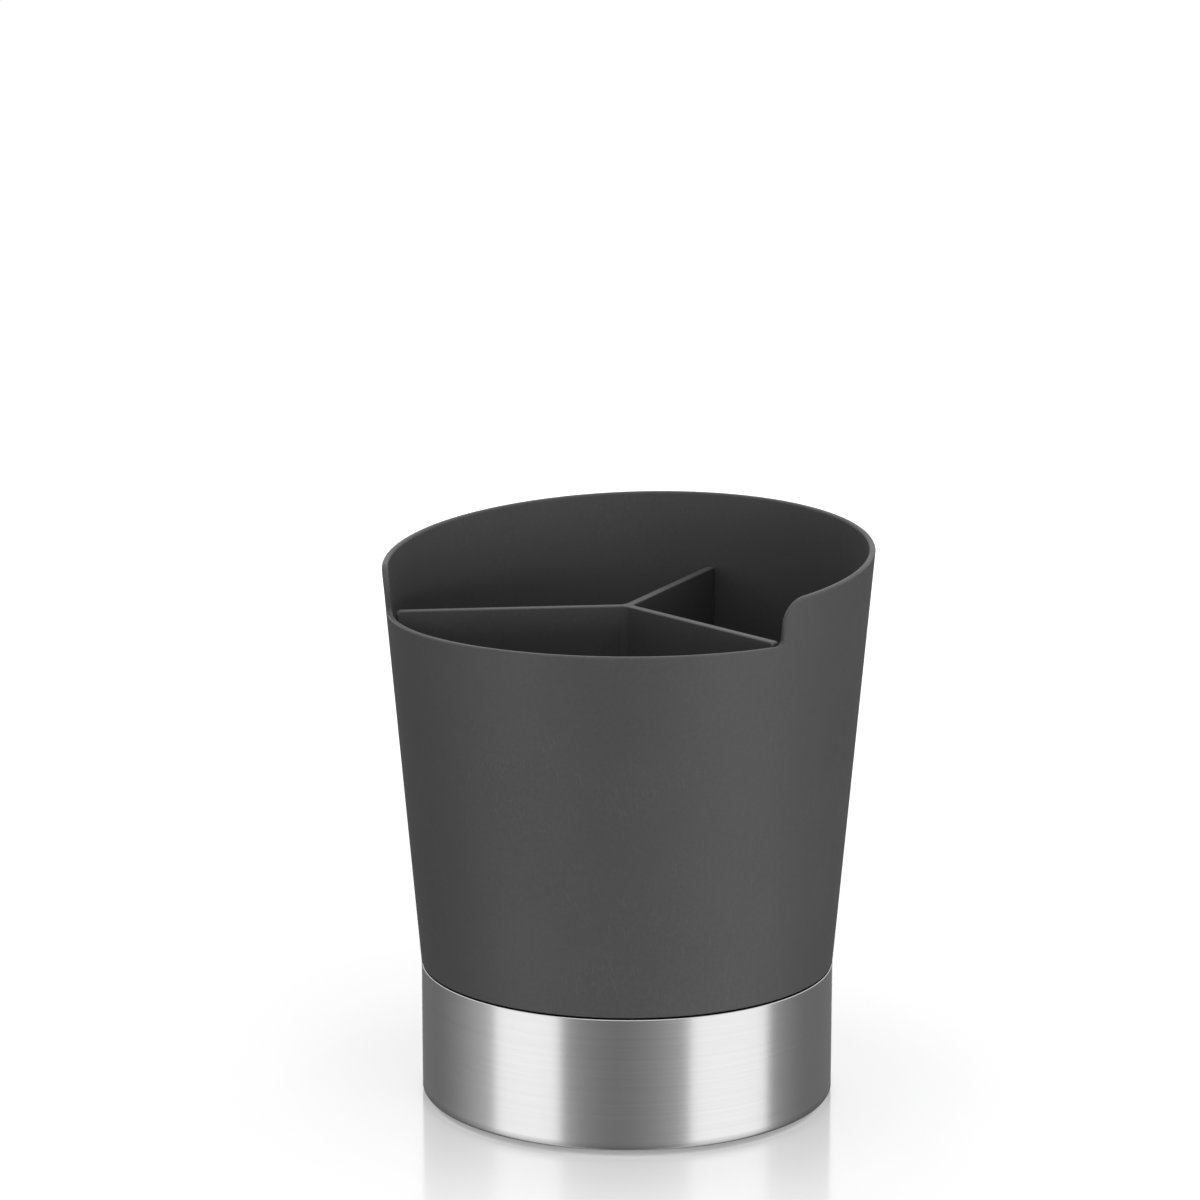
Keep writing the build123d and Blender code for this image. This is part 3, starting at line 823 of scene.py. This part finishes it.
surround = bpy.data.worlds.new("surround")
bpy.context.scene.world = surround
surround.use_nodes = True
sky_tree = surround.node_tree
sky = sky_tree.nodes["Background"]
sky.inputs["Color"].default_value = (1, 1, 1, 1)
cards = card_light(sky_tree, add(sky_tree, "ShaderNodeTexCoord").outputs["Generated"])
looked_at = any_of(sky_tree, "Is Camera Ray", "Is Transmission Ray")
plain = blend(sky_tree, looked_at, AMBIENT, 1.0)
level = blend(sky_tree, any_of(sky_tree, "Is Glossy Ray"), plain, cards)
sky_tree.links.new(level, sky.inputs["Strength"])
print("cards at degrees:", [middle for middle, half_width in CARDS], "halos at:", HALOS)

# %% [markdown]
# ## The floor
# The holder stands on a plain white sheet. A bent backdrop could hide the horizon, but here the
# surround is as white as the floor, so one flat sheet that runs far out is enough. It lies a hair
# below the feet, so that it never shares a plane with them.

# %% Floor sheet
FLOOR_REACH = 6.0
FLOOR_LEVEL = -0.02 * MM
FLOOR_CORNERS = ((-1, -1), (1, -1), (1, 1), (-1, 1))

floor_mesh = bpy.data.meshes.new("floor")
floor_points = [(x * FLOOR_REACH, y * FLOOR_REACH, FLOOR_LEVEL) for x, y in FLOOR_CORNERS]
floor_mesh.from_pydata(floor_points, [], [range(len(floor_points))])
floor = bpy.data.objects.new("floor", floor_mesh)
bpy.context.scene.collection.objects.link(floor)
floor.visible_glossy = False
print("floor side m:", 2 * FLOOR_REACH)

# %% [markdown]
# ## White of the floor
# More light could make the floor white, but it would also burn out the steel. So its white comes
# from the floor itself: it glows for the camera just enough to make up for what the lamps leave out,
# and the light that does fall on it draws the shadow. Close to the band it is a little glossy, as in
# the photograph.

# %% Floor finish
FLOOR_WHITE = 0.9
LAMPS_ON_FLOOR = 0.24
GLOW_START = 100 * MM
GLOW_END = 500 * MM
POLISH = 0.34
POLISH_REACH = 95 * MM
POLISH_BLUR = 0.12

floor_white, floor_tree, floor_surface, floor_place = new_finish("floor_white")
floor_surface.inputs["Base Color"].default_value = (FLOOR_WHITE, FLOOR_WHITE, FLOOR_WHITE, 1)
floor_surface.inputs["Roughness"].default_value = 1.0
floor_surface.inputs["Specular IOR Level"].default_value = 0.0
floor_surface.inputs["Emission Color"].default_value = (1, 1, 1, 1)
distance = off_axis(floor_tree, floor_place)
near_glow = 1.0 - FLOOR_WHITE * (AMBIENT + LAMPS_ON_FLOOR)
far_glow = 1.0 - FLOOR_WHITE * AMBIENT
looked_at = any_of(floor_tree, "Is Camera Ray", "Is Transmission Ray")
glow = spread(floor_tree, distance, near_glow, far_glow, GLOW_START, GLOW_END)
seen_glow = product(floor_tree, looked_at, glow)
floor_tree.links.new(seen_glow, floor_surface.inputs["Emission Strength"])
gloss_share = spread(floor_tree, distance, POLISH, 0.0, band_radius, band_radius + POLISH_REACH)
sheen = add(floor_tree, "ShaderNodeBsdfGlossy", {"Color": (1, 1, 1, 1), "Roughness": POLISH_BLUR})
polished = add(floor_tree, "ShaderNodeMixShader",
               {0: gloss_share, 1: floor_surface.outputs["BSDF"], 2: sheen.outputs["BSDF"]})
floor_output = floor_tree.nodes["Material Output"]
floor_tree.links.new(polished.outputs["Shader"], floor_output.inputs["Surface"])
floor_mesh.materials.append(floor_white)
print("floor glow near and far:", round(near_glow, 3), round(far_glow, 3))

# %% [markdown]
# ## Lamps
# Three large soft lamps. Small ones would draw hard shadows, which the photograph doesn't have. The
# right one is the strongest, as the cup in the photograph is a little lighter on that side. It
# stands low, so that it leaves the inside of the cup dark. The others give the rim and the back
# some light. None of them shows in reflections: the cards do that.

# %% Lamps
LAMP_AIM = Vector((0, 0, 80 * MM))


def softbox(name, azimuth, height, distance, size, power):
    """A soft lamp that faces the middle of the holder. Sizes are in metres."""
    data = bpy.data.lights.new(name, "AREA")
    data.shape = "RECTANGLE"
    data.size, data.size_y = size
    data.energy = power
    lamp = bpy.data.objects.new(name, data)
    turn = radians(azimuth)
    lamp.location = (distance * sin(turn), -distance * cos(turn), height)
    aim = LAMP_AIM - lamp.location
    lamp.rotation_euler = aim.to_track_quat("-Z", "Y").to_euler()
    lamp.visible_glossy = False
    bpy.context.scene.collection.objects.link(lamp)
    return lamp


lamps = [
    softbox("right_softbox", azimuth=CAMERA_AZIMUTH + 26, height=0.13, distance=1.1,
            size=(0.7, 0.25), power=5.8),
    softbox("top_softbox", azimuth=CAMERA_AZIMUTH, height=1.3, distance=0.05,
            size=(0.4, 0.4), power=3.2),
    softbox("back_softbox", azimuth=CAMERA_AZIMUTH + 195, height=0.45, distance=1.2,
            size=(0.7, 0.5), power=2.2),
]
print("lamps and their powers:", {lamp.name: round(lamp.data.energy, 2) for lamp in lamps})

# %% [markdown]
# ## Camera
# The camera's place, tilt and lens were worked out from the outlines of the cup and the band in
# the photograph. Set by eye, it would be off by some degrees, and the ellipses of rim and seam would
# show that.

# %% Camera
CAMERA_DISTANCE = 983.96 * MM
CAMERA_HEIGHT = 335.6 * MM
CAMERA_TILT = 10.935
CAMERA_TURN = 0.459
CAMERA_LENS = 104.83
CAMERA_SENSOR = 36.0

camera_data = bpy.data.cameras.new("camera")
camera_data.lens = CAMERA_LENS
camera_data.sensor_width = CAMERA_SENSOR
camera = bpy.data.objects.new("camera", camera_data)
azimuth = radians(CAMERA_AZIMUTH)
camera.location = (CAMERA_DISTANCE * sin(azimuth), -CAMERA_DISTANCE * cos(azimuth), CAMERA_HEIGHT)
camera.rotation_euler = (radians(90 - CAMERA_TILT), 0, radians(CAMERA_AZIMUTH + CAMERA_TURN))
bpy.context.scene.collection.objects.link(camera)
bpy.context.scene.camera = camera
bpy.context.scene.view_settings.view_transform = "Standard"
print("camera at mm:", [round(value / MM, 1) for value in camera.location])
